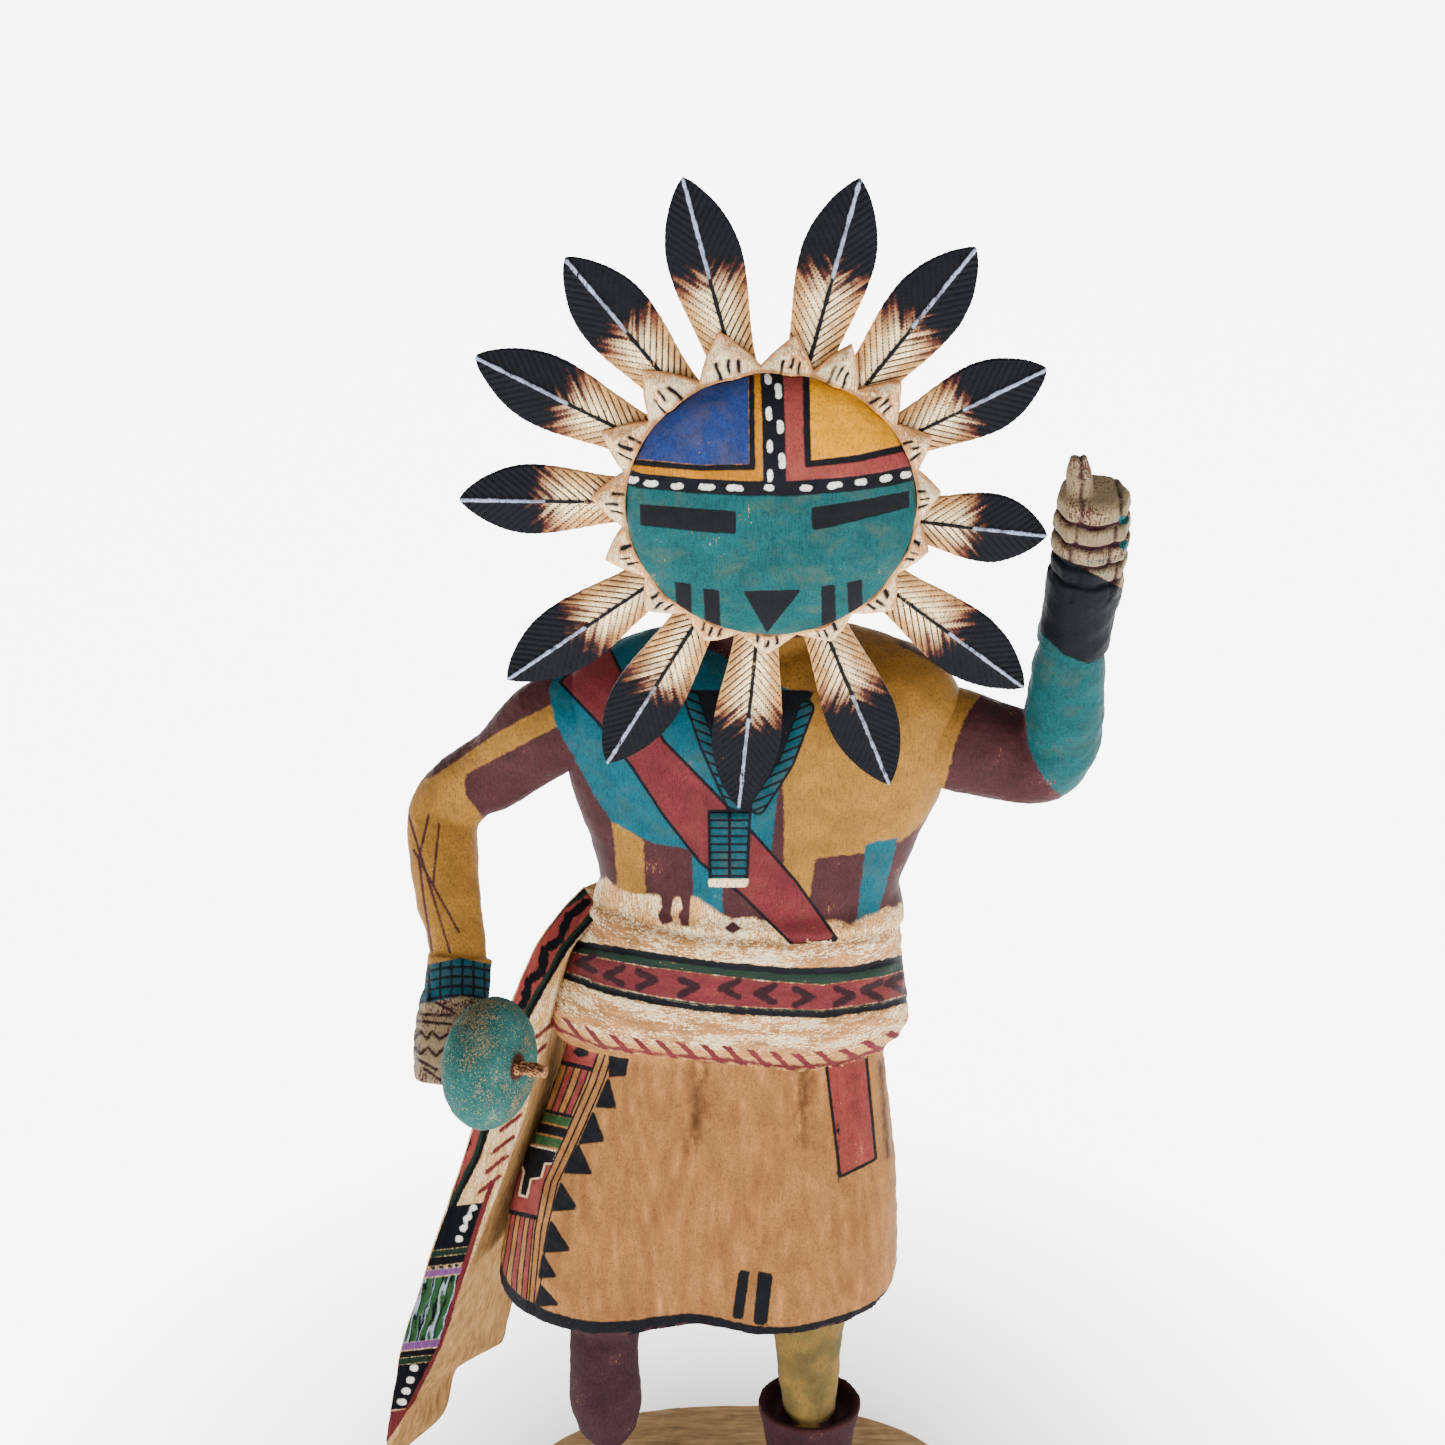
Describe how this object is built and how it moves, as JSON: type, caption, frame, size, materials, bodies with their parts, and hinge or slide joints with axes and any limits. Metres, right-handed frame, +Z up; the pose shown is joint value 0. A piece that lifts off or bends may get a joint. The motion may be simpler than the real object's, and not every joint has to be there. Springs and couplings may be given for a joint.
{
  "type": "kachina doll",
  "caption": "Carved and painted wooden dancer with a feathered sun-face mask, rattle, kilt and trailing sash on a low base.",
  "frame": {"origin": "middle of the base's underside", "axes": "+Z up through the standing figure, -Y the way the face looks, +X to the viewer's right, the figure's own left hand"},
  "size_m": [0.197, 0.1138, 0.4253],
  "materials": {
    "base_wood": "bare sanded cottonwood with clear wax",
    "painted_body": "matt earth paints on carved wood, worn through at the edges",
    "painted_arms": "matt earth paints on carved wood",
    "painted_sash": "bare wood with painted woven bands",
    "painted_mask": "matt turquoise, ochre and blue paint with wood grain showing",
    "painted_feathers": "cream, brown and black paint on knife-cut wood",
    "gourd_paint": "rough speckled turquoise paint",
    "twig": "bare twig bark"
  },
  "bodies": {
    "root": {"base": "base_wood", "body": "painted_body", "arm_right": "painted_arms", "arm_left": "painted_arms", "trailing_sash": "painted_sash", "mask": "painted_mask", "rattle_gourd": "gourd_paint", "rattle_stick": "twig", "feather_01": "painted_feathers", "feather_02": "painted_feathers", "feather_03": "painted_feathers", "feather_04": "painted_feathers", "feather_05": "painted_feathers", "feather_06": "painted_feathers", "feather_07": "painted_feathers", "feather_08": "painted_feathers", "feather_09": "painted_feathers", "feather_10": "painted_feathers", "feather_11": "painted_feathers", "feather_12": "painted_feathers", "feather_13": "painted_feathers"}
  },
  "joints": []
}
